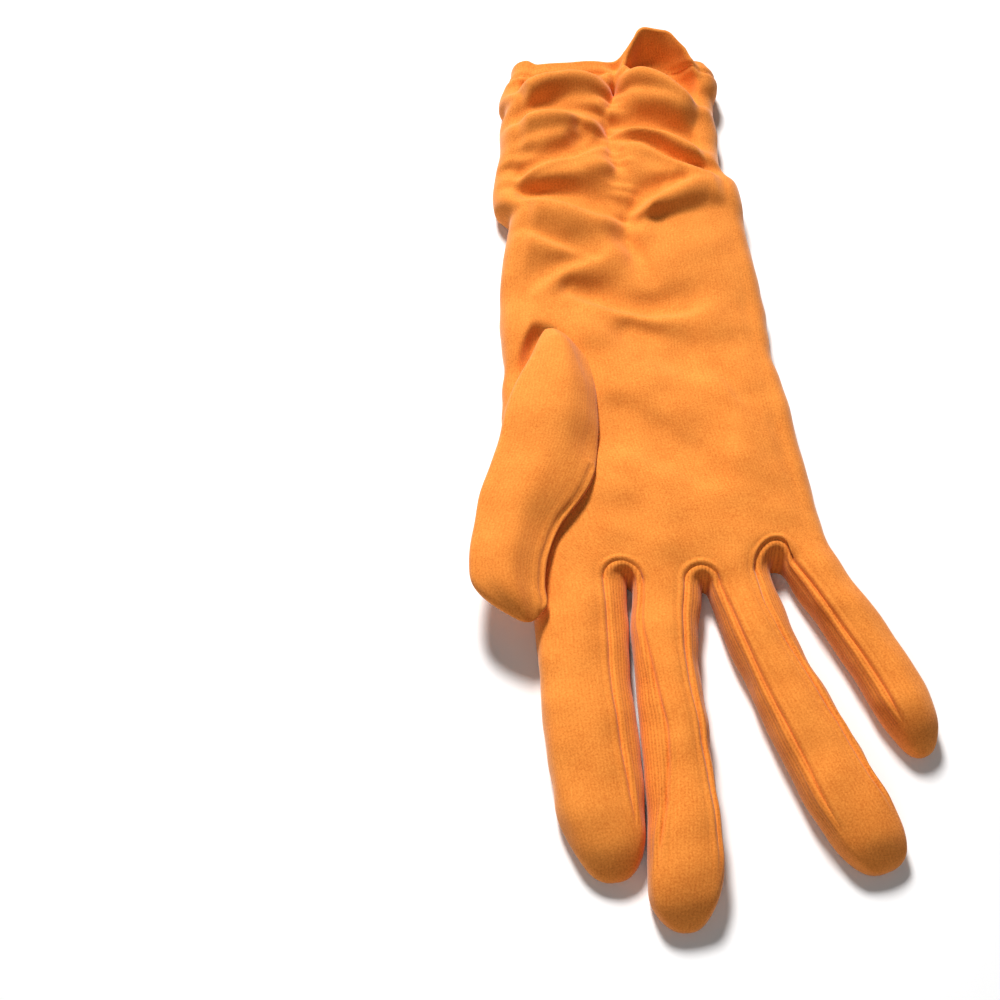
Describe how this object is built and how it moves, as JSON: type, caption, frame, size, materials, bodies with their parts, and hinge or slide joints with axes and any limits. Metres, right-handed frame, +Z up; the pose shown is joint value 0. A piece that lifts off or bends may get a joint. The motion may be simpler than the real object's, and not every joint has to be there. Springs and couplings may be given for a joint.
{
  "type": "dress glove",
  "caption": "Right-hand stretch jersey dress glove lying palm up, with shaped fingers, a set-in thumb, a long wrist and a ruched cuff.",
  "frame": {"origin": "centre of the glove's outline, on the surface it lies on", "axes": "+Y from the fingertips to the cuff, +Z up out of the palm, +X toward the little-finger side"},
  "size_m": [0.1136, 0.2748, 0.021],
  "materials": {
    "cloth": "matte",
    "thumb_cloth": "matte",
    "side_cloth": "matte"
  },
  "bodies": {
    "root": {"trank": "cloth", "cuff": "cloth", "thumb": "thumb_cloth", "fourchette_index_middle": "side_cloth", "fourchette_middle_ring": "side_cloth", "fourchette_ring_little": "side_cloth"}
  },
  "joints": []
}
